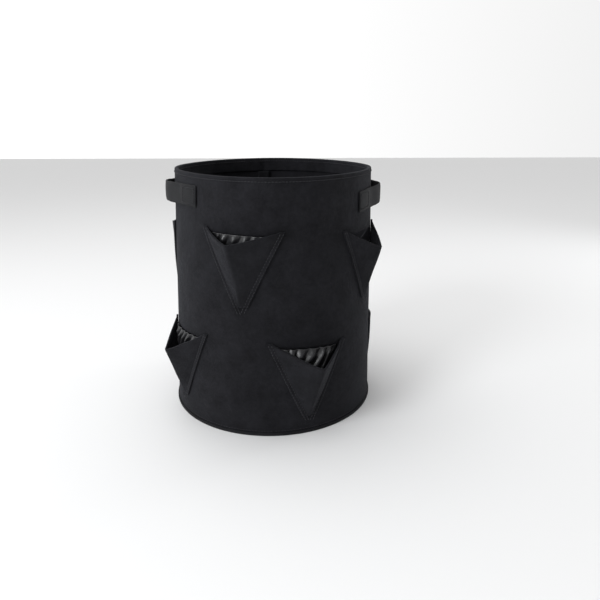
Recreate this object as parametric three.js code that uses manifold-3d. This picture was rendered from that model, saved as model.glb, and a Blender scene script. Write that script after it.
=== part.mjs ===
// Fabric grow bag: a round felt bag with two strap handles and eight planting pockets.
//
// Frame: millimetres, +Z up, origin at the middle of the base's underside. Angles go round the
// bag in degrees from its front, -Y, towards +X. Felt and straps are sewn, so each sewn piece
// stands a hair off the one under it.
import * as THREE from 'three';
import { mergeVertices } from 'three/addons/utils/BufferGeometryUtils.js';
import Module from 'manifold-3d';

const wasm = await Module();
wasm.setup();

// The bag
const HEIGHT = 350;
const BASE_RADIUS = 150;
const RIM_RADIUS = 144;
const FELT = 2.5; // thickness of one layer of felt
const GAP = 0.3; // between pieces that touch
const ROUND_STEPS = 64;
const HEM_DEPTH = 22; // how far the rim is folded down inside
const BASE_UPSTAND = 11; // how far the base panel's edge is turned up inside the wall
const BINDING_HEIGHT = 4; // the tape round the foot of the wall
const BINDING_THICKNESS = 1.6;
const SEAM_ANGLE = 187; // where the wall's two ends meet, at the back
const SEAM_LAP = 20;

// Stitching
const THREAD_RADIUS = 0.5;
const RIM_STITCH_DROP = 5.6;
const BASE_STITCH_HEIGHT = 6.5;
const SEAM_STITCH_SPREAD = 11;
const SEAM_STITCH_LOW = 12;
const SEAM_STITCH_HIGH = 338;

// Pockets: a triangle of felt sewn on along a V, over a slit in the wall
const POCKET_WIDTH = 102; // across the mouth, round the wall
const POCKET_HEIGHT = 102;
const POCKET_HEM = 7; // the flat strip outside each seam
const POCKET_POINT = 3; // half the width that the V keeps at its bottom
const SLIT_HALF_WIDTH = 42;
const SLIT_DROP = 7; // from the mouth's corners down to the slit's upper edge
const SLIT_GAPE = 14; // how far a slit is open in the middle
// angle: middle of the pocket, bottom: height of the V's point, standOff: how far the tip of the
// mouth stands from the wall, tipDrop: how far it hangs below the corners, tipTurn: degrees that
// it leans round the bag, slope: rise of the mouth per millimetre round the wall
const POCKETS = [
  { name: 'upper_1', angle: -17, bottom: 180, standOff: 23, tipDrop: 16, tipTurn: -4, slope: -0.03 },
  { name: 'upper_2', angle: 60, bottom: 171, standOff: 23, tipDrop: 30, tipTurn: 2, slope: -0.01 },
  { name: 'upper_3', angle: 143, bottom: 174, standOff: 20, tipDrop: 18, tipTurn: 2, slope: 0.03 },
  { name: 'upper_4', angle: -97, bottom: 172, standOff: 8, tipDrop: 8, tipTurn: -2, slope: 0.02 },
  { name: 'lower_1', angle: -59, bottom: 30, standOff: 28, tipDrop: 31, tipTurn: -1, slope: 0.03 },
  { name: 'lower_2', angle: 18, bottom: 26, standOff: 34, tipDrop: 23, tipTurn: 2, slope: -0.06 },
  { name: 'lower_3', angle: 98.5, bottom: 22, standOff: 6, tipDrop: 6, tipTurn: 1, slope: 0.02 },
  { name: 'lower_4', angle: -141.5, bottom: 20, standOff: 22, tipDrop: 18, tipTurn: -1, slope: -0.03 },
];

// Handles: a strap laid round each side, sewn down at both ends and bowed out between them
const STRAP_WIDTH = 28.5;
const STRAP_THICKNESS = 2.4;
const STRAP_END = 42; // degrees from the strap's middle to its end
const STRAP_SEWN = 28; // degrees from the middle to where the sewn end starts
const GRIP_END = 10; // degrees from the middle to the end of the stretch that swings
const BOX_STITCH_INSET = 4;
// middle: height of the strap's middle, bow: how far it stands from the wall there,
// rise: how much higher each millimetre towards the back is
const HANDLES = [
  { name: 'left', angle: -86, middle: 318, bow: 11, rise: 0 },
  { name: 'right', angle: 94, middle: 311, bow: 14, rise: 0.05 },
];

const felt = new THREE.MeshStandardMaterial({ color: 0x26262a, roughness: 0.95, metalness: 0 });
const strap = new THREE.MeshStandardMaterial({ color: 0x37383c, roughness: 0.85, metalness: 0 });
const thread = new THREE.MeshStandardMaterial({ color: 0x303034, roughness: 0.7, metalness: 0 });

const group = new THREE.Group();
const degrees = THREE.MathUtils.degToRad;

function add(name, geometry, material) {
  const mesh = new THREE.Mesh(geometry, material);
  mesh.name = name;
  group.add(mesh);
}

const wallRadius = (z) => THREE.MathUtils.lerp(BASE_RADIUS, RIM_RADIUS, z / HEIGHT);

// A point at an angle round the bag, at a distance from its axis
const around = (angle, radius, z) =>
  new THREE.Vector3(radius * Math.sin(degrees(angle)), -radius * Math.cos(degrees(angle)), z);

// Turns a closed outline of [radius, height] points round the bag's axis
function revolve(outline) {
  const points = [...outline, outline[0]].map(([radius, z]) => new THREE.Vector2(radius, z));
  return new THREE.LatheGeometry(points, ROUND_STEPS).rotateX(Math.PI / 2);
}

// A closed sheet between two grids of points, each a list of rows, seen from outside with rows
// going up and columns going right
function sheet(outer, inner) {
  const rows = outer.length;
  const columns = outer[0].length;
  const positions = [...outer.flat(), ...inner.flat()].flatMap((p) => [p.x, p.y, p.z]);
  const at = (layer, row, column) => (layer * rows + row) * columns + column;
  const indices = [];
  const quad = (a, b, c, d) => indices.push(a, b, c, a, c, d);
  for (let i = 0; i < rows - 1; i += 1) {
    for (let j = 0; j < columns - 1; j += 1) {
      quad(at(0, i, j), at(0, i, j + 1), at(0, i + 1, j + 1), at(0, i + 1, j));
      quad(at(1, i, j), at(1, i + 1, j), at(1, i + 1, j + 1), at(1, i, j + 1));
    }
    quad(at(0, i + 1, 0), at(1, i + 1, 0), at(1, i, 0), at(0, i, 0));
    const last = columns - 1;
    quad(at(0, i, last), at(1, i, last), at(1, i + 1, last), at(0, i + 1, last));
  }
  for (let j = 0; j < columns - 1; j += 1) {
    const top = rows - 1;
    quad(at(0, 0, j), at(1, 0, j), at(1, 0, j + 1), at(0, 0, j + 1));
    quad(at(0, top, j + 1), at(1, top, j + 1), at(1, top, j), at(0, top, j));
  }
  const geometry = new THREE.BufferGeometry();
  geometry.setAttribute('position', new THREE.Float32BufferAttribute(positions, 3));
  geometry.setIndex(indices);
  geometry.computeVertexNormals();
  return geometry;
}

// A thread along points, with four sides
function threadAlong(points, steps) {
  const section = new THREE.Shape();
  for (let k = 0; k < 4; k += 1) {
    const turn = degrees(90 * k);
    const corner = [THREAD_RADIUS * Math.cos(turn), THREAD_RADIUS * Math.sin(turn)];
    if (k === 0) section.moveTo(...corner);
    else section.lineTo(...corner);
  }
  section.closePath();
  const extrudePath = new THREE.CatmullRomCurve3(points, false, 'centripetal');
  return new THREE.ExtrudeGeometry(section, { steps, extrudePath });
}

// A ring of thread round the outside of the wall
function threadRing(z) {
  const radius = wallRadius(z) + GAP + THREAD_RADIUS;
  return new THREE.TorusGeometry(radius, THREAD_RADIUS, 4, ROUND_STEPS).translate(0, 0, z);
}

function toSolid(geometry) {
  geometry.deleteAttribute('normal');
  geometry.deleteAttribute('uv');
  const merged = mergeVertices(geometry, 1e-4);
  const vertProperties = new Float32Array(merged.attributes.position.array);
  const triVerts = new Uint32Array(merged.index.array);
  return new wasm.Manifold(new wasm.Mesh({ numProp: 3, vertProperties, triVerts }));
}

function toGeometry(solid) {
  const { vertProperties, triVerts } = solid.getMesh();
  const geometry = new THREE.BufferGeometry();
  geometry.setAttribute('position', new THREE.BufferAttribute(vertProperties, 3));
  geometry.setIndex(new THREE.BufferAttribute(triVerts, 1));
  geometry.computeVertexNormals();
  return geometry;
}

// The slit behind a pocket: straight above, sagging below, cut right through the wall
function slitCutter({ angle, bottom }) {
  const outline = new THREE.Shape();
  outline.moveTo(SLIT_HALF_WIDTH, 0);
  outline.lineTo(-SLIT_HALF_WIDTH, 0);
  outline.quadraticCurveTo(0, -2 * SLIT_GAPE, SLIT_HALF_WIDTH, 0);
  const depth = 40;
  const geometry = new THREE.ExtrudeGeometry(outline, { depth, bevelEnabled: false, curveSegments: 6 });
  const z = bottom + POCKET_HEIGHT - SLIT_DROP;
  const out = around(angle, 1, 0);
  const up = new THREE.Vector3(0, 0, 1);
  const along = new THREE.Vector3().crossVectors(up, out);
  const place = new THREE.Matrix4().makeBasis(along, up, out);
  place.setPosition(around(angle, wallRadius(z) - depth / 2 - FELT, z));
  return toSolid(geometry.applyMatrix4(place));
}

// The side wall: one felt panel, closed into a slightly tapered tube, with a slit at each pocket
function addWall() {
  const top = HEIGHT - FELT - GAP;
  let solid = toSolid(
    revolve([
      [wallRadius(0) - FELT, 0],
      [wallRadius(0), 0],
      [wallRadius(top), top],
      [wallRadius(top) - FELT, top],
    ]),
  );
  for (const pocket of POCKETS) solid = solid.subtract(slitCutter(pocket));
  add('side_wall', toGeometry(solid), felt);
}

// The rim: a fold over the wall's edge, with its free edge down inside
function addRimHem() {
  const inside = (z) => wallRadius(z) - FELT - GAP;
  const foldBottom = HEIGHT - FELT;
  const low = HEIGHT - HEM_DEPTH;
  const outline = [
    [inside(low) - FELT, low],
    [inside(low), low],
    [inside(foldBottom), foldBottom],
    [wallRadius(foldBottom), foldBottom],
    [wallRadius(HEIGHT), HEIGHT],
    [inside(HEIGHT) - FELT, HEIGHT],
  ];
  add('rim_hem', revolve(outline), felt);
}

// The base: a round felt panel whose edge is turned up inside the wall
function addBase() {
  const edge = (z) => wallRadius(z) - FELT - GAP;
  const outline = [
    [0, 0],
    [edge(0), 0],
    [edge(BASE_UPSTAND), BASE_UPSTAND],
    [edge(BASE_UPSTAND) - FELT, BASE_UPSTAND],
    [edge(FELT) - FELT, FELT],
    [0, FELT],
  ];
  const points = outline.map(([radius, z]) => new THREE.Vector2(radius, z));
  add('base_panel', new THREE.LatheGeometry(points, ROUND_STEPS).rotateX(Math.PI / 2), felt);
}

// The binding: a narrow tape sewn round the foot of the wall, over the base seam
function addBinding() {
  const inner = (z) => wallRadius(z) + GAP;
  const outline = [
    [inner(0), 0],
    [inner(0) + BINDING_THICKNESS, 0],
    [inner(BINDING_HEIGHT) + BINDING_THICKNESS, BINDING_HEIGHT],
    [inner(BINDING_HEIGHT), BINDING_HEIGHT],
  ];
  add('base_binding', revolve(outline), strap);
}

// The wall's own overlap at the back, inside, and the two rows of stitching that hold it
function addBackSeam() {
  const low = BASE_UPSTAND + 1;
  const high = HEIGHT - HEM_DEPTH - 1;
  const half = THREE.MathUtils.radToDeg(SEAM_LAP / 2 / RIM_RADIUS);
  const grid = (depth) =>
    [low, high].map((z) =>
      [-1, 0, 1].map((side) => around(SEAM_ANGLE + side * half, wallRadius(z) - FELT - 2 * GAP - depth, z)),
    );
  add('back_seam_lap', sheet(grid(0), grid(FELT)), felt);

  const spread = THREE.MathUtils.radToDeg(SEAM_STITCH_SPREAD / 2 / RIM_RADIUS);
  const outside = (side, z) => around(SEAM_ANGLE + side * spread, wallRadius(z) + GAP + THREAD_RADIUS, z);
  const heights = [0, 0.25, 0.5, 0.75, 1].map((t) => THREE.MathUtils.lerp(SEAM_STITCH_LOW, SEAM_STITCH_HIGH, t));
  const points = [
    ...heights.map((z) => outside(-1, z)),
    ...heights.reverse().map((z) => outside(1, z)),
  ];
  add('back_seam_stitching', threadAlong(points, 30), thread);
}

// A point of a pocket. v goes from 0 at the V's point to 1 at the mouth. u is -1 and 1 at the
// seams, 0 at the crease and -2 and 2 at the hem's outer edges. lift is the distance outwards.
function pocketPoint(pocket, u, v, lift) {
  const side = THREE.MathUtils.clamp(u, -1, 1);
  const fullness = (1 - Math.abs(side)) * v;
  const half = THREE.MathUtils.lerp(POCKET_POINT, POCKET_WIDTH / 2, v);
  const across = side * half + (u - side) * POCKET_HEM;
  const z = pocket.bottom + v * POCKET_HEIGHT - pocket.tipDrop * fullness + pocket.slope * across * v;
  const angle = pocket.angle + THREE.MathUtils.radToDeg(across / wallRadius(z)) + pocket.tipTurn * fullness;
  return around(angle, wallRadius(z) + GAP + lift + pocket.standOff * fullness, z);
}

function addPocket(pocket) {
  const columns = [-2, -1, -0.5, 0, 0.5, 1, 2];
  const rows = [0, 0.2, 0.4, 0.6, 0.8, 1];
  const grid = (lift) => rows.map((v) => columns.map((u) => pocketPoint(pocket, u, v, lift)));
  add(`pocket_${pocket.name}`, sheet(grid(FELT), grid(0)), felt);

  const lift = FELT + GAP + THREAD_RADIUS;
  const leg = [0.97, 0.78, 0.59, 0.4, 0.21, 0];
  const points = [
    ...leg.map((v) => pocketPoint(pocket, -1.5, v, lift)),
    pocketPoint(pocket, 0, 0, lift),
    ...leg.reverse().map((v) => pocketPoint(pocket, 1.5, v, lift)),
  ];
  add(`pocket_${pocket.name}_stitching`, threadAlong(points, 26), thread);
}

// How far a handle's strap stands from the wall, at an angle from its middle
function standOff(handle, turn) {
  if (Math.abs(turn) >= STRAP_SEWN) return 0;
  return handle.bow * Math.cos((Math.PI / 2) * (turn / STRAP_SEWN)) ** 2;
}

// A length of strap between two angles from the handle's middle, with a step of about 4 degrees
function strapPiece(handle, from, to) {
  const bottom = handle.middle - STRAP_WIDTH / 2;
  const radius = wallRadius(bottom) + GAP;
  const steps = Math.ceil((to - from) / 4);
  const turns = Array.from({ length: steps + 1 }, (_, k) => from + ((to - from) * k) / steps);
  const at = (turn, lift) => {
    const p = around(handle.angle + turn, radius + standOff(handle, turn) + lift, 0);
    return new THREE.Vector2(p.x, p.y);
  };
  const outline = new THREE.Shape([
    ...turns.map((turn) => at(turn, STRAP_THICKNESS)),
    ...turns.reverse().map((turn) => at(turn, 0)),
  ]);
  const geometry = new THREE.ExtrudeGeometry(outline, { depth: STRAP_WIDTH, bevelEnabled: false });
  const slant = new THREE.Matrix4().makeShear(0, 0, 0, handle.rise, 0, 0);
  return geometry.applyMatrix4(slant).translate(0, 0, bottom);
}

// The stitched box that holds a strap's end
function boxStitch(handle, side) {
  const radius = wallRadius(handle.middle - STRAP_WIDTH / 2) + GAP + STRAP_THICKNESS + GAP + THREAD_RADIUS;
  const inset = THREE.MathUtils.radToDeg(BOX_STITCH_INSET / radius);
  const low = STRAP_SEWN + inset;
  const high = STRAP_END - inset;
  const half = STRAP_WIDTH / 2 - BOX_STITCH_INSET;
  const corners = [[low, -half], [high, -half], [high, half], [low, half], [low, -half + 1.5]];
  const points = corners.slice(1).flatMap(([turn, height], k) =>
    [0, 1 / 3, 2 / 3].map((t) => {
      const angle = handle.angle + side * THREE.MathUtils.lerp(corners[k][0], turn, t);
      const p = around(angle, radius, handle.middle + THREE.MathUtils.lerp(corners[k][1], height, t));
      p.z += handle.rise * p.y;
      return p;
    }),
  );
  return threadAlong(points, 28);
}

function addHandle(handle) {
  const joint = THREE.MathUtils.radToDeg(GAP / RIM_RADIUS);
  const name = `handle_${handle.name}`;
  add(`${name}_grip`, strapPiece(handle, -GRIP_END, GRIP_END), strap);
  for (const [side, end] of [[-1, 'front'], [1, 'rear']]) {
    const towardsFront = handle.angle > 0 ? side : -side;
    const piece = (from, to) =>
      towardsFront < 0 ? strapPiece(handle, -to, -from) : strapPiece(handle, from, to);
    add(`${name}_${end}_shoulder`, piece(GRIP_END + joint, STRAP_SEWN - joint), strap);
    add(`${name}_${end}_end`, piece(STRAP_SEWN, STRAP_END), strap);
    add(`${name}_${end}_stitching`, boxStitch(handle, towardsFront), thread);
  }
}

addWall();
addRimHem();
addBase();
addBinding();
addBackSeam();
POCKETS.forEach(addPocket);
HANDLES.forEach(addHandle);
add('rim_stitching', threadRing(HEIGHT - RIM_STITCH_DROP), thread);
add('base_stitching', threadRing(BASE_STITCH_HEIGHT), thread);

export default group;
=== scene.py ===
"""Looks of the felt grow bag: cloth, straps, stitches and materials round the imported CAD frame.

Everything is in metres in the CAD's frame: +Z up, -Y the front, origin under the base's middle.
Angles go round the bag in degrees from the front towards +X, as they do in the CAD.
"""

import math

import bmesh
import bpy
import numpy as np
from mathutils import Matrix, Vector, noise


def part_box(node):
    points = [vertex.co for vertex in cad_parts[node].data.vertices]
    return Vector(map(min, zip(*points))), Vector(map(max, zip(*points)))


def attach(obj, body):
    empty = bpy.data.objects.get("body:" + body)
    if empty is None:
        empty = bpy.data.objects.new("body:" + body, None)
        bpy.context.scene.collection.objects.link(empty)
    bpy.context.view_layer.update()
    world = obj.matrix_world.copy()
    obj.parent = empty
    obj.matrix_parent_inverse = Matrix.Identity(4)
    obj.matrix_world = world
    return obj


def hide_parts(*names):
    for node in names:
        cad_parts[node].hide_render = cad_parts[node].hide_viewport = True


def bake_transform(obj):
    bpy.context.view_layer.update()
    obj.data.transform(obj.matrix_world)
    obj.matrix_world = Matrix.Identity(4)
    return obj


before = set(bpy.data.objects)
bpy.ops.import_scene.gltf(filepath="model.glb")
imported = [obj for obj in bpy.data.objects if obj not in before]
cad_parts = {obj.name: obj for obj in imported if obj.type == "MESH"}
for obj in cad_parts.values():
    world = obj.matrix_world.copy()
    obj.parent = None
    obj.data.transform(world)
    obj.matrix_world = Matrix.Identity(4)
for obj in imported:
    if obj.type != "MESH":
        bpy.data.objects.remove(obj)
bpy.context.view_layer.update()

noise.seed_set(7)  # noise_vector takes its offsets from the clock otherwise

MM = 0.001

# The bag
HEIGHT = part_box("rim_hem")[1].z
BASE_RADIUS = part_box("side_wall")[1].x
RIM_RADIUS = 144 * MM
FELT = 2.5 * MM
GAP = 0.3 * MM
HEM_DEPTH = 22 * MM
BASE_UPSTAND = 11 * MM
BINDING_HEIGHT = 4 * MM
BINDING_THICKNESS = 1.6 * MM
SEAM_ANGLE = 187
SEAM_LAP = 20 * MM
RIM_TILT = 5 * MM  # the soft rim sits this much lower in front and higher behind
RIM_RISE = 1.5 * MM  # the soft rim is this much higher at its sides
RIM_DEPTH = 1.07  # the soft mouth's depth from front to back, as a share of the CAD's
RIM_POINTED = 0.3  # how far the mouth is pinched from round, at 0, to pointed at its sides
LEAN = 3.5 * MM  # the soft wall leans this far to +X by the rim

# Pockets: angle, height of the V's point, how far the mouth's tip stands off and hangs down,
# degrees that it leans round the bag, and the mouth's slope, as in the CAD
POCKET_WIDTH = 102 * MM
POCKET_HEIGHT = 102 * MM
POCKET_HEM = 7 * MM
POCKET_POINT = 3 * MM
POCKET_CLOTH = 2.2 * MM
CREASE_ROUND = 0.0005  # how rounded the crease down a pocket's middle is
SLIT_HALF_WIDTH = 42 * MM
SLIT_DROP = 7 * MM
SLIT_GAPE = 14 * MM
# Crumpled sheets in the mouths, which stand for no CAD solid, and how deep their folds are
FOLD_PITCH = 13 * MM
FOLD_DEPTHS = {"upper_1": 4, "upper_3": 5, "lower_1": 8, "lower_2": 8, "lower_4": 6}
FLAP_CLOTH = 0.6 * MM
# Settling: how much the cloth grows, and the farthest that it may move a point
POCKET_GROWTH, POCKET_REACH = 0.008, 1.2 * MM
FLAP_GROWTH, FLAP_REACH = 0.02, 3 * MM
POCKETS = {
    "upper_1": (-17, 180, 23, 16, -4, -0.03),
    "upper_2": (60, 171, 23, 30, 2, -0.01),
    "upper_3": (143, 174, 20, 18, 2, 0.03),
    "upper_4": (-97, 172, 8, 8, -2, 0.02),
    "lower_1": (-59, 30, 28, 31, -1, 0.03),
    "lower_2": (18, 26, 34, 23, 2, -0.06),
    "lower_3": (98.5, 22, 6, 6, 1, 0.02),
    "lower_4": (-141.5, 20, 22, 18, -1, -0.03),
}

# Handles: angle of the strap's middle, its height, how far it bows out, rise towards the back
STRAP_WIDTH = 28.5 * MM
STRAP_THICKNESS = 2.4 * MM
STRAP_END = 42
STRAP_SEWN = 28
GRIP_END = 10
HANDLES = {"left": (-86, 318, 11, 0), "right": (94, 311, 14, 0.05)}

# Stitches
STITCH_PITCH = 4.2 * MM
STITCH_LENGTH = 3.3 * MM
THREAD_RADIUS = 0.45 * MM

# The camera, fitted to the photograph's outline of the bag, which fixes its distance weakly
CAMERA_PLACE = (0, -0.785, 0.3976)
CAMERA_DOWN = 12.56  # degrees below level
CAMERA_RIGHT = 3.07  # degrees to the right of the bag's middle
CAMERA_LENS = 31.37  # mm, on a 36 mm sensor
CAMERA_SHIFT = -0.0833


def smooth(t):
    t = np.clip(t, 0, 1)
    return t * t * (3 - 2 * t)


def wall_radius(z):
    return BASE_RADIUS + (RIM_RADIUS - BASE_RADIUS) * z / HEIGHT


def ripple(angle, z):
    """The felt's slow in-and-out, which dies away at the sewn base."""
    a, h = np.radians(angle), z / HEIGHT
    waves = 0.5 * np.sin(2 * a + 0.6 + 3 * h) + 0.35 * np.sin(3 * a - 1.1 - 4.5 * h)
    waves = waves + 0.2 * np.sin(5 * a + 2 + 6 * h) + 0.12 * np.sin(9 * a - 7 * h)
    return 1.1 * MM * waves * smooth(h / 0.2)


def skin(angle, z, lift=0.0):
    """Points at a distance outside the wall's outer face."""
    angle, z = np.asarray(angle, float), np.asarray(z, float)
    radius = wall_radius(z) + ripple(angle, z) + lift
    a, up = np.radians(angle), smooth((z / HEIGHT - 0.6) / 0.4)
    x = radius * np.sin(a) + LEAN * z / HEIGHT
    lens = RIM_DEPTH * (1 - RIM_POINTED + RIM_POINTED * np.abs(np.cos(a)))
    y = -radius * np.cos(a) * (1 + (lens - 1) * up)
    return np.stack(np.broadcast_arrays(x, y, z + (RIM_RISE - RIM_TILT * np.cos(a)) * up), -1)


def outward(angle):
    """The level direction away from the bag's middle."""
    a = np.radians(np.asarray(angle, float))
    return np.stack([np.sin(a), -np.cos(a), np.zeros_like(a)], -1)


def degrees_round(distance):
    """The angle that a distance round the base's edge spans."""
    return np.degrees(distance / BASE_RADIUS)


# ---------------------------------------------------------------- mesh helpers


def make(name, points, faces, material):
    mesh = bpy.data.meshes.new(name)
    mesh.from_pydata(np.reshape(points, (-1, 3)).tolist(), [], [list(f) for f in faces])
    mesh.validate()
    mesh.materials.append(material)
    mesh.shade_smooth()
    piece = bpy.data.objects.new(name, mesh)
    bpy.context.scene.collection.objects.link(piece)
    return piece


def face_outwards(piece):
    """Turns a closed piece's faces to point out."""
    shape = bmesh.new()
    shape.from_mesh(piece.data)
    bmesh.ops.recalc_face_normals(shape, faces=shape.faces)
    shape.to_mesh(piece.data)
    shape.free()
    return piece


def grid_faces(rows, columns, start=0, closed=False):
    """Quads of a grid of points, a list of rows, whose outside is seen with rows going up."""
    faces = []
    for i in range(rows - 1):
        for j in range(columns if closed else columns - 1):
            k = (j + 1) % columns
            a, b = start + i * columns, start + (i + 1) * columns
            faces.append((a + j, a + k, b + k, b + j))
    return faces


def solidify(piece, thickness, offset):
    mod = piece.modifiers.new("thickness", "SOLIDIFY")
    mod.thickness = thickness
    mod.offset = offset
    return piece


def settle(piece):
    """Makes a piece's modifiers part of its mesh."""
    evaluated = piece.evaluated_get(bpy.context.evaluated_depsgraph_get())
    mesh = bpy.data.meshes.new_from_object(evaluated)
    piece.modifiers.clear()
    piece.data = mesh
    return face_outwards(piece)


def ring(name, outline, material, columns=288, seam=0.0):
    """A closed outline of (lift from the wall, height) points, taken round the bag.

    seam is the depth of the groove inside, where the ends of the cloth meet at the back.
    """
    angles = np.arange(columns) * 360 / columns
    groove = seam * np.exp(-(((angles - SEAM_ANGLE) / 2.6) ** 2))
    points = []
    for lift, z in outline:
        inside = lift < -FELT
        points.append(skin(angles, np.full(columns, z), lift + (groove if inside else 0)))
    faces = grid_faces(len(points) + 1, columns, closed=True)
    count = len(points) * columns
    faces = [tuple(v % count for v in face) for face in faces]
    return face_outwards(make(name, np.array(points), faces, material))


def rounded(corners, radius, steps=4):
    """A closed outline with its corners rounded by quadratic arcs."""
    out = []
    corners = [np.array(c, float) for c in corners]
    for k, corner in enumerate(corners):
        before, after = corners[k - 1], corners[(k + 1) % len(corners)]
        reach = min(radius, *(0.45 * np.linalg.norm(p - corner) for p in (before, after)))
        a = corner + (before - corner) / np.linalg.norm(before - corner) * reach
        b = corner + (after - corner) / np.linalg.norm(after - corner) * reach
        for s in np.linspace(0, 1, steps + 1):
            out.append((1 - s) ** 2 * a + 2 * s * (1 - s) * corner + s**2 * b)
    return out


def stitch_row(points, normals, pitch=STITCH_PITCH, phase=0.5):
    """Vertices and faces of a row of thread stitches along a line on the cloth."""
    points, normals = np.asarray(points, float), np.asarray(normals, float)
    steps = np.linalg.norm(np.diff(points, axis=0), axis=1)
    along = np.concatenate([[0], np.cumsum(steps)])
    middles = np.arange(phase * pitch, along[-1] - 0.3 * pitch, pitch)
    stations = np.array([-1, -0.72, -0.3, 0.3, 0.72, 1])
    girth = np.array([0.35, 0.85, 1, 1, 0.85, 0.35])
    height = np.array([-0.9, -0.05, 0.45, 0.45, -0.05, -0.9])
    sides = 6
    turns = np.arange(sides) * 2 * math.pi / sides
    verts, faces = [], []
    for middle in middles:
        at = middle + stations * STITCH_LENGTH / 2
        centre = np.stack([np.interp(at, along, points[:, k]) for k in range(3)], -1)
        normal = np.array([np.interp(middle, along, normals[:, k]) for k in range(3)])
        normal /= np.linalg.norm(normal)
        tangent = centre[-1] - centre[0]
        tangent /= np.linalg.norm(tangent)
        across = np.cross(normal, tangent)
        start = len(verts)
        for c, g, h in zip(centre, girth, height):
            for turn in turns:
                out = across * math.cos(turn) + normal * math.sin(turn)
                verts.append(c + normal * h * THREAD_RADIUS + out * g * THREAD_RADIUS)
        faces += grid_faces(len(stations), sides, start, closed=True)
        faces.append(tuple(start + k for k in reversed(range(sides))))
        last = start + (len(stations) - 1) * sides
        faces.append(tuple(last + k for k in range(sides)))
    return verts, faces


def stitches(name, rows, material):
    verts, faces = [], []
    for row in rows:
        more, their_faces = stitch_row(*row)
        faces += [tuple(v + len(verts) for v in f) for f in their_faces]
        verts += more
    return face_outwards(make(name, verts, faces, material))


# ---------------------------------------------------------------- materials


def new_material(name):
    material = bpy.data.materials.new(name)
    material.use_nodes = True
    tree = material.node_tree
    return material, tree, tree.nodes["Principled BSDF"]


def node(tree, kind, **settings):
    made = tree.nodes.new(kind)
    for key, value in settings.items():
        if key in made.inputs:
            made.inputs[key].default_value = value
        else:
            setattr(made, key, value)
    return made


def ramp(tree, source, low, high, from_low=0.0, from_high=1.0):
    """Turns a 0 to 1 value into a colour between two."""
    made = node(tree, "ShaderNodeValToRGB")
    made.color_ramp.elements[0].position = from_low
    made.color_ramp.elements[0].color = (*low, 1)
    made.color_ramp.elements[1].position = from_high
    made.color_ramp.elements[1].color = (*high, 1)
    tree.links.new(source, made.inputs["Fac"])
    return made.outputs["Color"]


def mixed(tree, mode, factor, a, b):
    made = node(tree, "ShaderNodeMix", data_type="RGBA", blend_type=mode)
    made.inputs["Factor"].default_value = factor
    tree.links.new(a, made.inputs["A"])
    tree.links.new(b, made.inputs["B"])
    return made.outputs["Result"]


def noise_of(tree, place, scale, detail=3.0, roughness=0.55, distortion=0.0):
    made = node(tree, "ShaderNodeTexNoise")
    made.inputs["Scale"].default_value = scale
    made.inputs["Detail"].default_value = detail
    made.inputs["Roughness"].default_value = roughness
    made.inputs["Distortion"].default_value = distortion
    tree.links.new(place, made.inputs["Vector"])
    return made.outputs["Fac"]


def scaled(tree, place, scale):
    made = node(tree, "ShaderNodeMapping")
    made.inputs["Scale"].default_value = scale
    tree.links.new(place, made.inputs["Vector"])
    return made.outputs["Vector"]


def arithmetic(tree, operation, a, b):
    made = node(tree, "ShaderNodeMath", operation=operation)
    for value, socket in ((a, made.inputs[0]), (b, made.inputs[1])):
        if isinstance(value, (int, float)):
            socket.default_value = value
        else:
            tree.links.new(value, socket)
    return made.outputs["Value"]


def bump(tree, shader, height, distance, strength=1.0):
    made = node(tree, "ShaderNodeBump")
    made.inputs["Distance"].default_value = distance
    made.inputs["Strength"].default_value = strength
    tree.links.new(height, made.inputs["Height"])
    tree.links.new(made.outputs["Normal"], shader.inputs["Normal"])


def felt_material(name, colour, sheen=0.045):
    """Needle-punched felt: tangled fibres, a slow mottle and a soft nap."""
    material, tree, shader = new_material(name)
    place = node(tree, "ShaderNodeTexCoord").outputs["Object"]
    slow = noise_of(tree, place, 38, 4, 0.6)
    patches = noise_of(tree, place, 190, 3, 0.6, 0.4)
    fibres = noise_of(tree, place, 900, 6, 0.75, 2.2)
    upright = noise_of(tree, scaled(tree, place, (1, 1, 0.35)), 1500, 4, 0.7, 1.0)
    low, high = [c * 0.72 for c in colour], [c * 1.32 for c in colour]
    tint = ramp(tree, slow, low, high, 0.3, 0.7)
    specks = ramp(tree, fibres, (0.62, 0.62, 0.64), (1.0, 1.0, 1.0), 0.36, 0.64)
    base = mixed(tree, "MULTIPLY", 0.8, tint, specks)
    patchy = ramp(tree, patches, (0.82, 0.82, 0.82), (1, 1, 1), 0.35, 0.6)
    tree.links.new(mixed(tree, "MULTIPLY", 0.7, base, patchy), shader.inputs["Base Color"])
    worn = arithmetic(tree, "MULTIPLY", patches, 0.25)
    tree.links.new(arithmetic(tree, "SUBTRACT", 1.02, worn), shader.inputs["Roughness"])
    shader.inputs["Specular IOR Level"].default_value = 0.12
    shader.inputs["Sheen Weight"].default_value = sheen
    shader.inputs["Sheen Roughness"].default_value = 0.45
    shader.inputs["Sheen Tint"].default_value = (0.82, 0.86, 1, 1)
    height = arithmetic(tree, "ADD", fibres, arithmetic(tree, "MULTIPLY", upright, 0.5))
    height = arithmetic(tree, "ADD", height, arithmetic(tree, "MULTIPLY", patches, 1.3))
    bump(tree, shader, height, 0.7 * MM, 0.7)
    return material


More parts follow.
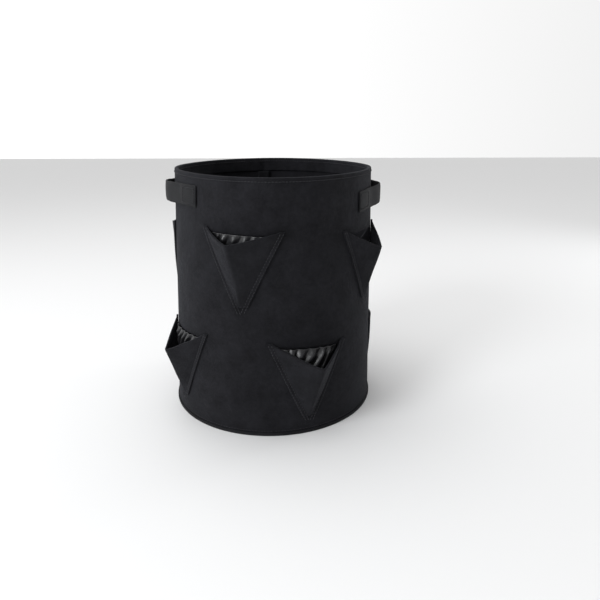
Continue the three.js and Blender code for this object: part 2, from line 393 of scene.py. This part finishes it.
def flap_material(name, colour):
    """Felt pressed smooth, with a low gloss along its creases."""
    material, tree, shader = new_material(name)
    place = node(tree, "ShaderNodeTexCoord").outputs["Object"]
    slow = noise_of(tree, place, 120, 3, 0.6)
    grain = noise_of(tree, place, 700, 4, 0.65, 0.8)
    tint = ramp(tree, slow, [c * 0.75 for c in colour], [c * 1.3 for c in colour], 0.3, 0.7)
    tree.links.new(tint, shader.inputs["Base Color"])
    rough = arithmetic(tree, "ADD", 0.3, arithmetic(tree, "MULTIPLY", slow, 0.2))
    tree.links.new(rough, shader.inputs["Roughness"])
    shader.inputs["Specular IOR Level"].default_value = 0.6
    bump(tree, shader, grain, 0.18 * MM, 0.5)
    return material


def strap_material(name, colour):
    """A fine woven tape: crossed ribs, a little smoother than the felt."""
    material, tree, shader = new_material(name)
    place = node(tree, "ShaderNodeTexCoord").outputs["Object"]
    slow = noise_of(tree, place, 55, 3, 0.6)
    grain = noise_of(tree, place, 1300, 3, 0.6)
    weave = node(tree, "ShaderNodeTexWave", wave_type="BANDS", bands_direction="Z")
    weave.inputs["Scale"].default_value = 330
    weave.inputs["Distortion"].default_value = 1.2
    weave.inputs["Detail"].default_value = 2
    tree.links.new(place, weave.inputs["Vector"])
    twill = node(tree, "ShaderNodeTexWave", wave_type="BANDS", bands_direction="DIAGONAL")
    twill.inputs["Scale"].default_value = 210
    twill.inputs["Distortion"].default_value = 1.6
    tree.links.new(place, twill.inputs["Vector"])
    tint = ramp(tree, slow, [c * 0.8 for c in colour], [c * 1.25 for c in colour], 0.3, 0.7)
    specks = ramp(tree, grain, (0.7, 0.7, 0.72), (1, 1, 1), 0.35, 0.65)
    tree.links.new(mixed(tree, "MULTIPLY", 0.7, tint, specks), shader.inputs["Base Color"])
    rough = arithmetic(tree, "ADD", 0.62, arithmetic(tree, "MULTIPLY", grain, 0.25))
    tree.links.new(rough, shader.inputs["Roughness"])
    shader.inputs["Specular IOR Level"].default_value = 0.17
    shader.inputs["Sheen Weight"].default_value = 0.05
    shader.inputs["Sheen Roughness"].default_value = 0.4
    ribs = arithmetic(tree, "ADD", weave.outputs["Fac"], twill.outputs["Fac"])
    bump(tree, shader, arithmetic(tree, "ADD", ribs, grain), 0.22 * MM, 0.6)
    return material


def thread_material(name, colour):
    """Twisted polyester thread."""
    material, tree, shader = new_material(name)
    place = node(tree, "ShaderNodeTexCoord").outputs["Object"]
    slow = noise_of(tree, place, 300, 2)
    tint = ramp(tree, slow, [c * 0.8 for c in colour], [c * 1.2 for c in colour], 0.3, 0.7)
    tree.links.new(tint, shader.inputs["Base Color"])
    shader.inputs["Roughness"].default_value = 0.6
    shader.inputs["Specular IOR Level"].default_value = 0.25
    shader.inputs["Sheen Weight"].default_value = 0.05
    bump(tree, shader, noise_of(tree, place, 2600, 2), 0.15 * MM, 0.5)
    return material


def floor_material():
    material, _, shader = new_material("studio_floor")
    shader.inputs["Base Color"].default_value = (0.86, 0.86, 0.86, 1)
    shader.inputs["Roughness"].default_value = 0.9
    return material


WALL_FELT = felt_material("wall_felt", (0.0135, 0.0135, 0.016))
POCKET_FELT = felt_material("pocket_felt", (0.0145, 0.0145, 0.017))
LINING_FELT = felt_material("lining_felt", (0.014, 0.014, 0.0165))
# Darker felt for the back seam's lap: painted shade for the shadow down the seam inside the back
# wall
SEAM_SHADE_FELT = felt_material("seam_shade_felt", (0.008, 0.008, 0.0095), 0.03)
FLAP_FELT = flap_material("flap_felt", (0.014, 0.014, 0.016))
STRAP = strap_material("strap_tape", (0.0095, 0.0098, 0.0115))
THREAD = thread_material("stitch_thread", (0.022, 0.022, 0.026))


# ---------------------------------------------------------------- camera, floor and light


def add_camera():
    """A close view from a little above the rim, aimed just right of the bag."""
    lens = bpy.data.cameras.new("camera")
    lens.sensor_width = 36
    lens.lens = CAMERA_LENS
    lens.shift_y = CAMERA_SHIFT
    camera = bpy.data.objects.new("camera", lens)
    camera.location = CAMERA_PLACE
    camera.rotation_euler = (math.radians(90 - CAMERA_DOWN), 0, math.radians(-CAMERA_RIGHT))
    bpy.context.scene.collection.objects.link(camera)
    bpy.context.scene.camera = camera


def add_light(name, place, aim, size, power, colour=(1, 1, 1)):
    data = bpy.data.lights.new(name, "AREA")
    data.shape = "DISK"
    data.size = size
    data.energy = power
    data.color = colour
    light = bpy.data.objects.new(name, data)
    light.location = place
    light.rotation_euler = (Vector(aim) - Vector(place)).to_track_quat("-Z", "Y").to_euler()
    bpy.context.scene.collection.objects.link(light)


def add_studio():
    size = 8
    corners = [(-size, -size, 0), (size, -size, 0), (size, size, 0), (-size, size, 0)]
    make("studio_floor", corners, [(0, 1, 2, 3)], floor_material())
    add_world()
    bpy.context.scene.view_settings.view_transform = "Standard"
    middle = (0, 0, 0.18)
    add_light("key", (-1.5, -1.3, 1.2), middle, 0.9, 25, (0.96, 0.98, 1))
    add_light("top", (-0.4, 0.2, 2.2), middle, 1.6, 10)
    add_light("edge", (1.6, 0.7, 0.7), middle, 0.5, 3, (0.97, 0.98, 1))


def add_world():
    """A white studio whose back wall, beyond the bag, is brighter than its front."""
    world = bpy.data.worlds.new("studio")
    world.use_nodes = True
    tree = world.node_tree
    split = node(tree, "ShaderNodeSeparateXYZ")
    tree.links.new(node(tree, "ShaderNodeTexCoord").outputs["Generated"], split.inputs["Vector"])
    share = node(tree, "ShaderNodeMapRange")
    share.inputs["From Min"].default_value = -0.6
    share.inputs["From Max"].default_value = 0.6
    share.inputs["To Min"].default_value = 0.42
    share.inputs["To Max"].default_value = 1.05
    tree.links.new(split.outputs["Y"], share.inputs["Value"])
    dimmer_right = arithmetic(tree, "MULTIPLY", split.outputs["X"], -0.3)
    strength = arithmetic(tree, "ADD", share.outputs["Result"], dimmer_right)
    tree.links.new(strength, tree.nodes["Background"].inputs["Strength"])
    tree.nodes["Background"].inputs["Color"].default_value = (1, 1, 1, 1)
    bpy.context.scene.world = world


# ---------------------------------------------------------------- pockets


class Pocket:
    def __init__(self, name, angle, bottom, stand_off, tip_drop, tip_turn, slope):
        self.name, self.angle, self.slope, self.tip_turn = name, angle, slope, tip_turn
        self.bottom, self.stand_off, self.tip_drop = bottom * MM, stand_off * MM, tip_drop * MM
        self.slit = self.bottom + POCKET_HEIGHT - SLIT_DROP
        self.open = self.stand_off > 12 * MM

    def half_width(self, v):
        return POCKET_POINT + (POCKET_WIDTH / 2 - POCKET_POINT) * v

    def seam(self, u, v, lift=0.0):
        """A point flat on the wall: u is -1 and 1 at the seams, -2 and 2 at the hem's edges."""
        side = np.clip(u, -1, 1)
        across = side * self.half_width(v) + (u - side) * POCKET_HEM
        z = self.bottom + v * POCKET_HEIGHT + self.slope * across * v
        return skin(self.angle + degrees_round(across), z, GAP + lift)

    def point(self, u, v, lift=0.0):
        """A point of the pocket's cloth: its faces run from the seams out to the crease."""
        side = np.clip(u, -1, 1)
        t = 1 - np.sqrt(side**2 * (1 - CREASE_ROUND) + CREASE_ROUND * (1 - np.abs(side)))
        t = np.where(np.abs(side) >= 1, 0, t)
        fullness = t * v
        across = side * self.half_width(v)
        z = self.bottom + v * POCKET_HEIGHT - self.tip_drop * fullness + self.slope * across * v
        angle = self.angle + degrees_round(across) + self.tip_turn * fullness
        rolled = skin(angle, z, GAP + lift + self.stand_off * fullness)
        sign = np.where(u < 0, -1.0, 1.0)
        edge = self.seam(sign, v, lift)
        crest_z = self.bottom + v * POCKET_HEIGHT - self.tip_drop * v
        crest_angle = self.angle + self.tip_turn * v
        crest = skin(crest_angle, crest_z, GAP + lift + self.stand_off * v)
        flat = edge + (crest - edge) * t[..., None]
        bow = 0.9 * MM * np.sin(math.pi * t) * v * np.minimum(1, self.stand_off / (20 * MM))
        flat = flat + outward(angle) * bow[..., None]
        share = np.clip((self.stand_off - 8 * MM) / (12 * MM), 0, 1)
        face = rolled + (flat - rolled) * share
        h = np.clip(np.abs(u) - 1, 0, 1)
        pressed = np.exp(-(((h - 0.2) / 0.11) ** 2)) + np.exp(-(((h - 0.8) / 0.11) ** 2))
        puff = lift + 0.35 * MM * 4 * h * (1 - h) - 0.5 * MM * pressed
        hem = self.seam(u, v, puff)
        return np.where((np.abs(u) > 1)[..., None], hem, face)

    def cut(self):
        """The flat felt panel: the length of its mouth's edge, and its area."""
        face = math.hypot(POCKET_WIDTH / 2, self.stand_off)
        mouth = 2 * (face + POCKET_HEM)
        foot = 2 * (POCKET_POINT + POCKET_HEM)
        return mouth, (mouth + foot) / 2 * POCKET_HEIGHT


def wobble(points, size, reach):
    """A small displacement for each point, from smooth noise."""
    flat = np.reshape(points, (-1, 3))
    moves = [noise.noise_vector(Vector(p) / reach) for p in flat]
    return np.reshape(np.array(moves), np.shape(points)) * size


def smoothed(field, times=4):
    """Evens out a grid of moves, so that no point moves much against its neighbours."""
    for _ in range(times):
        wide = np.pad(field, ((1, 1), (1, 1), (0, 0)), mode="edge")
        down = wide[:-2] + 2 * wide[1:-1] + wide[2:]
        field = (down[:, :-2] + 2 * down[:, 1:-1] + down[:, 2:]) / 16
    return field


def slacken(piece, held, growth, reach, frames=14):
    """Nudges a grid of cloth, held where held is 1, by a simulation in which it grows and sags.

    No point moves more than reach, and many would, so the cap shapes the result too.
    """
    group = piece.vertex_groups.new(name="held")
    for k, weight in enumerate(np.ravel(held)):
        group.add([k], float(weight), "REPLACE")
    before = np.array([v.co for v in piece.data.vertices])
    cloth = piece.modifiers.new("cloth", "CLOTH")
    settings = cloth.settings
    settings.quality = 8
    settings.mass = 0.3
    settings.tension_stiffness = 8
    settings.compression_stiffness = 8
    settings.shear_stiffness = 4
    settings.bending_stiffness = 0.5
    settings.air_damping = 5
    settings.vertex_group_mass = "held"
    settings.shrink_min = -growth
    settings.effector_weights.gravity = 0.3
    cloth.collision_settings.use_collision = False
    cloth.point_cache.frame_start = 1
    cloth.point_cache.frame_end = frames
    for frame_number in range(1, frames + 1):
        bpy.context.scene.frame_set(frame_number)
    evaluated = piece.evaluated_get(bpy.context.evaluated_depsgraph_get())
    after = np.array([v.co for v in evaluated.data.vertices])
    piece.modifiers.clear()
    piece.vertex_groups.clear()
    bpy.context.scene.frame_set(1)
    move = after - before
    length = np.linalg.norm(move, axis=1, keepdims=True)
    move *= np.minimum(1, reach / np.maximum(length, 1e-9))
    move = smoothed(move.reshape(*held.shape, 3)) * (1 - held[..., None])
    piece.data.vertices.foreach_set("co", (before + move.reshape(-1, 3)).ravel())
    piece.data.update()


def add_pocket(pocket):
    hem = np.linspace(1, 2, 9)[1:]
    face = np.linspace(0, 1, 26)[1:]
    half = np.concatenate([face, hem])
    u = np.concatenate([-half[::-1], [0], half])
    v = np.linspace(0, 1, 44)
    uu, vv = np.meshgrid(u, v)
    points = pocket.point(uu, vv)
    loose = (np.clip(1 - np.abs(uu), 0, 1) * vv)[..., None]
    points = points + wobble(points, 0.8 * MM, 24 * MM) * np.minimum(1, 3 * loose)
    points = points + outward(pocket.angle) * 0.2 * MM
    piece = make(f"pocket_cloth_{pocket.name}", points, grid_faces(*uu.shape), POCKET_FELT)
    if pocket.open:
        held = np.where((np.abs(uu) > 0.97) | (np.abs(uu) < 0.03) | (vv < 0.3), 1.0, 0.0)
        slacken(piece, held, POCKET_GROWTH, POCKET_REACH)
    solidify(piece, POCKET_CLOTH, 1)
    settle(piece)
    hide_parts(f"pocket_{pocket.name}")
    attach(piece, "bag")
    mouth, area = pocket.cut()

    rows = []
    reach = np.linspace(0.985, -0.1, 50)
    for side in (-1, 1):
        for inset in (1.2, 1.8):
            u_row = np.full(reach.shape, side * inset)
            line = pocket.seam(u_row, reach, POCKET_CLOTH + 0.1 * MM)
            rows.append((line, np.tile(outward(pocket.angle), (len(reach), 1))))
    sewn = stitches(f"pocket_stitches_{pocket.name}", rows, THREAD)
    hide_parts(f"pocket_{pocket.name}_stitching")
    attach(sewn, "bag")


# ---------------------------------------------------------------- wall, rim and base


def turned(angle):
    """An angle as -180 to 180 degrees."""
    return (np.asarray(angle, float) + 180) % 360 - 180


def add_wall(pockets):
    """One panel of felt, slit behind each pocket, with the cloth below each slit sagging in."""
    columns, rows = 336, 121
    angles = np.arange(columns) * 360 / columns
    heights = np.linspace(0.3 * MM, HEIGHT - 3.2 * MM, rows)
    aa, zz = np.meshgrid(angles, heights)
    step = heights[1] - heights[0]
    slits = []
    for pocket in pockets:
        away = turned(angles - pocket.angle)
        across = np.radians(away) * BASE_RADIUS
        row = int(round((pocket.slit - heights[0]) / step))
        target = pocket.slit + pocket.slope * across
        near = smooth((SLIT_HALF_WIDTH + 16 * MM - np.abs(across)) / (14 * MM))
        fade = smooth(1 - np.abs(np.arange(rows) - row) / 9)
        zz += np.outer(fade, (target - heights[row]) * near)
        slits.append((pocket, row, across))
    points = skin(aa, zz)
    extra, faces = [], {k: f for k, f in enumerate(grid_faces(rows, columns, closed=True))}
    for pocket, row, across in slits:
        drop = zz[row, :]
        for j in range(row + 1):
            v = (zz[j] - pocket.bottom) / POCKET_HEIGHT
            t = np.clip(np.abs(across) / (pocket.half_width(np.clip(v, 0, 1)) * 0.92), 0, 1)
            deep = (1 - t**2) * smooth(v / 0.9) * (7 * MM if pocket.open else 3 * MM)
            if j < row:
                points[j] -= outward(angles) * deep[:, None]
                sag = SLIT_GAPE * (1 - t**2) * smooth(1 - (drop - zz[j]) / (45 * MM))
                points[j, :, 2] -= np.where(t < 1, sag * 0.8, 0)
            else:
                lower = points[j] - outward(angles) * deep[:, None]
                inside = np.abs(across) < SLIT_HALF_WIDTH
                lower[:, 2] -= SLIT_GAPE * np.clip(1 - (across / SLIT_HALF_WIDTH) ** 2, 0, 1)
                for c in np.flatnonzero(inside):
                    old, new = row * columns + c, rows * columns + len(extra)
                    extra.append(lower[c])
                    for k in ((row - 1) * columns + c, (row - 1) * columns + (c - 1) % columns):
                        faces[k] = tuple(new if i == old else i for i in faces[k])
    every = np.concatenate([points.reshape(-1, 3), np.array(extra)])
    wall = make("wall_cloth", every, faces.values(), WALL_FELT)
    solidify(wall, FELT, -1)
    settle(wall)
    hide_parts("side_wall")
    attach(wall, "bag")


def add_flap(pocket):
    """A crumpled sheet in a pocket's mouth, in front of the wall's own cut edge."""
    rows, columns = 60, 100
    low = 0.4
    top = (pocket.slit - pocket.bottom) / POCKET_HEIGHT
    v = np.linspace(low, top, rows)
    u = np.linspace(-1, 1, columns)
    uu, vv = np.meshgrid(u, v)
    half = np.minimum(pocket.half_width(vv) - 4 * MM, SLIT_HALF_WIDTH)
    across = uu * half
    up = (vv - low) / (top - low)
    z = pocket.bottom + vv * POCKET_HEIGHT + pocket.slope * across * vv
    seed = Vector((pocket.angle, pocket.bottom * 100, 3))
    places = zip(across.ravel(), z.ravel())
    bend = np.reshape([noise.noise(Vector((a * 28, h * 28, 0)) + seed) for a, h in places], z.shape)
    phase = (across - (z - pocket.slit) * 0.6) / FOLD_PITCH + 0.5 * bend
    fold = np.abs(np.sin(math.pi * phase))
    free = np.clip((1 - uu**2) * 2.2, 0, 1) * smooth(up * 2.2)
    free = free * (0.3 + 0.7 * smooth((1 - up) / 0.16))
    lift = 0.4 * MM + free * (1 * MM + FOLD_DEPTHS[pocket.name] * MM * fold)
    room = GAP + 0.75 * pocket.stand_off * (1 - np.abs(uu)) * vv
    lift = np.minimum(lift, np.maximum(room, 0.4 * MM + 0.25 * (lift - 0.4 * MM)))
    points = skin(pocket.angle + degrees_round(across), z, lift)
    piece = make(f"flap_cloth_{pocket.name}", points, grid_faces(rows, columns), FLAP_FELT)
    held = np.where((np.abs(uu) > 0.95) | (up < 0.04) | (up > 0.97), 1.0, 0.0)
    slacken(piece, held, FLAP_GROWTH, FLAP_REACH)
    solidify(piece, FLAP_CLOTH, 0)
    settle(piece)
    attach(piece, "bag")


def row_round(z, lift):
    angles = np.linspace(0, 360, 361)
    return skin(angles, np.full(361, z), lift), outward(angles)


def add_rim():
    """The wall's top edge folded over and down inside, with its line of stitches."""
    low = HEIGHT - HEM_DEPTH
    inner = -(2 * FELT + GAP)
    corners = [
        (0.05 * MM, HEIGHT - 4.5 * MM),
        (0.1 * MM, HEIGHT - 0.6 * MM),
        (inner - 0.1 * MM, HEIGHT - 0.6 * MM),
        (inner, low),
        (inner + FELT, low),
        (inner + FELT, HEIGHT - 2.6 * MM),
        (-1.6 * MM, HEIGHT - 3 * MM),
        (-0.5 * MM, HEIGHT - 4.5 * MM),
    ]
    hem = ring("rim_cloth", rounded(corners, 2.4 * MM), LINING_FELT, 480, 2.2 * MM)
    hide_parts("rim_hem")
    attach(hem, "bag")
    line, out = row_round(HEIGHT - 5.8 * MM, inner - 0.1 * MM)
    inner_row = (line[::-1], -out[::-1])
    sewn = stitches(
        "rim_stitches",
        [row_round(HEIGHT - 5.8 * MM, 0.3 * MM), inner_row],
        THREAD,
    )
    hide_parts("rim_stitching")
    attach(sewn, "bag")


def add_base():
    """A round panel with its edge turned up inside, a binding round its seam and stitches."""
    columns, rings = 160, 26
    edge = BASE_RADIUS - FELT - GAP
    outline = [(edge * k / rings, FELT) for k in range(1, rings)]
    outline += [(edge - FELT - 1.5 * MM, FELT), (edge - FELT - 0.3 * MM, FELT + 1.4 * MM)]
    outline += [(edge - FELT - 0.1 * MM, BASE_UPSTAND), (edge - 0.1 * MM, BASE_UPSTAND)]
    outline += [(edge, 2 * MM), (edge - 1 * MM, 0.3 * MM)]
    outline += [(edge * k / rings, 0.1 * MM) for k in range(rings - 1, 0, -1)]
    angles = np.radians(np.arange(columns) * 360 / columns)
    points = []
    for radius, z in outline:
        sway = 0.0
        if z == FELT:
            sway = 0.7 * MM * np.sin(3 * angles + 18 * radius) * smooth((edge - radius) / edge * 4)
        heights = np.zeros(columns) + z + sway
        flat = [radius * np.sin(angles), -radius * np.cos(angles), heights]
        points += np.stack(flat, -1).tolist()
    count = len(outline)
    faces = [tuple(reversed(f)) for f in grid_faces(count, columns, closed=True)]
    faces.append(tuple(range(columns)))
    faces.append(tuple((count - 1) * columns + k for k in reversed(range(columns))))
    base = face_outwards(make("base_cloth", points, faces, LINING_FELT))
    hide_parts("base_panel")
    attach(base, "bag")

    thick = BINDING_THICKNESS
    corners = [
        (GAP, 0.1 * MM),
        (GAP + thick, 0.1 * MM),
        (GAP + thick, BINDING_HEIGHT),
        (GAP, BINDING_HEIGHT),
    ]
    binding = ring("binding_tape", rounded(corners, 0.7 * MM, 3), STRAP)
    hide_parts("base_binding")
    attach(binding, "bag")
    sewn = stitches("base_stitches", [row_round(6.5 * MM, 0.2 * MM)], THREAD)
    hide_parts("base_stitching")
    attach(sewn, "bag")


def add_back_seam():
    """The wall's lap inside at the back, and two rows of stitches that show outside."""
    z = np.linspace(BASE_UPSTAND + 1 * MM, HEIGHT - HEM_DEPTH - 1 * MM, 90)
    across = np.linspace(-1, 1, 9) * SEAM_LAP / 2
    cc, zz = np.meshgrid(across, z)
    points = skin(SEAM_ANGLE + degrees_round(cc), zz, -(2 * FELT + 2 * GAP))
    # The lap's darker felt is painted shade along the seam
    lap = make("seam_lap_cloth", points, grid_faces(*cc.shape), SEAM_SHADE_FELT)
    solidify(lap, FELT - 0.3 * MM, 1)
    settle(lap)
    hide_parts("back_seam_lap")
    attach(lap, "bag")
    rows = []
    for side in (-1, 1):
        angle = SEAM_ANGLE + side * degrees_round(5.5 * MM)
        z = np.linspace(10 * MM, HEIGHT - 9 * MM, 120)
        line = skin(np.full(z.shape, angle), z, 0.2 * MM)
        rows.append((line, np.tile(outward(angle), (len(z), 1))))
    sewn = stitches("back_seam_stitches", rows, THREAD)
    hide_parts("back_seam_stitching")
    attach(sewn, "bag")


# ---------------------------------------------------------------- handles


class Handle:
    def __init__(self, name, angle, middle, bow, rise):
        self.name, self.angle, self.rise = name, angle, rise
        self.middle, self.bow = middle * MM, bow * MM
        self.radius = wall_radius(self.middle - STRAP_WIDTH / 2) + GAP

    def line(self, turn, height=0.0, lift=0.0):
        """Points on the strap's inner face: turn is degrees from its middle."""
        turn = np.asarray(turn, float)
        free = np.cos(math.pi / 2 * np.clip(np.abs(turn) / STRAP_SEWN, 0, 1)) ** 2
        sewn = skin(self.angle + turn, self.middle + height + 0 * turn, GAP + lift)
        out = outward(self.angle + turn)
        points = sewn + out * (self.bow * free)[..., None]
        points[..., 2] = self.middle + height + self.rise * points[..., 1]
        return points


def strap_section():
    """Half-widths and thicknesses round a folded tape, from its lower edge up the outside."""
    w = np.linspace(-1, 1, 21)
    edge = np.sqrt(np.clip(1 - np.abs(w) ** 7, 0, 1))
    groove = np.exp(-(((np.abs(w) - 0.78) / 0.05) ** 2)) * 0.18
    outer = 0.5 + edge * (0.5 - groove + 0.04 * np.cos(math.pi * w))
    inner = 0.5 - edge * 0.5
    return np.concatenate([w, w[::-1]]), np.concatenate([outer, inner[::-1]])


def add_strap(handle, side, end, with_grip):
    """Half a handle's strap, from its middle to its sewn end."""
    body = f"handle_{handle.name}"
    w, n = strap_section()
    stations = np.concatenate([[0.02], np.linspace(0.6, STRAP_END - 0.5, 64), [STRAP_END]])
    points = []
    for turn in stations:
        scale = 0.55 if turn == STRAP_END else 1.0
        tired = 1 + 0.012 * math.sin(turn * 0.9 + handle.angle)
        heights = w * STRAP_WIDTH / 2 * tired * (0.985 if scale < 1 else 1)
        lifts = (0.5 + (n - 0.5) * scale) * STRAP_THICKNESS
        points.append(handle.line(np.full(w.shape, side * turn), heights, lifts))
    count = len(w)
    faces = grid_faces(len(stations), count, closed=True)
    faces.append(tuple(reversed(range(count))))
    faces.append(tuple((len(stations) - 1) * count + k for k in range(count)))
    points = np.array(points)
    loose = smooth((STRAP_SEWN - stations) / 3)[:, None, None]
    points = points + wobble(points, 0.5 * MM, 22 * MM) * loose
    piece = face_outwards(make(f"strap_{handle.name}_{end}", points, faces, STRAP))
    nodes = [f"{body}_{end}_end", f"{body}_{end}_shoulder"]
    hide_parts(*nodes, *([f"{body}_grip"] if with_grip else []))
    start = handle.line(side * STRAP_SEWN)
    stop = handle.line(side * GRIP_END)
    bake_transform(piece)

    half, inset = STRAP_WIDTH / 2 - 4 * MM, float(degrees_round(4 * MM))
    low, high = STRAP_SEWN + inset, STRAP_END - inset
    corners = [(low, -half), (high, -half), (high, half), (low, half), (low, -half)]
    rows = []
    for (turn_a, height_a), (turn_b, height_b) in zip(corners, corners[1:]):
        turns = side * np.linspace(turn_a, turn_b, 16)
        heights = np.linspace(height_a, height_b, 16)
        line = handle.line(turns, heights, STRAP_THICKNESS + 0.2 * MM)
        rows.append((line, outward(handle.angle + turns)))
    sewn = stitches(f"strap_stitches_{handle.name}_{end}", rows, THREAD)
    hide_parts(f"{body}_{end}_stitching")
    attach(sewn, "bag")


def add_handle(handle):
    for side, end in ((-1, "front"), (1, "rear")):
        towards = side if handle.angle > 0 else -side
        add_strap(handle, towards, end, end == "front")


# ---------------------------------------------------------------- the scene

add_camera()
add_studio()
pockets = [Pocket(name, *facts) for name, facts in POCKETS.items()]
add_wall(pockets)
for pocket in pockets:
    add_pocket(pocket)
    if pocket.name in FOLD_DEPTHS:
        add_flap(pocket)
add_rim()
add_base()
add_back_seam()
for name, facts in HANDLES.items():
    add_handle(Handle(name, *facts))
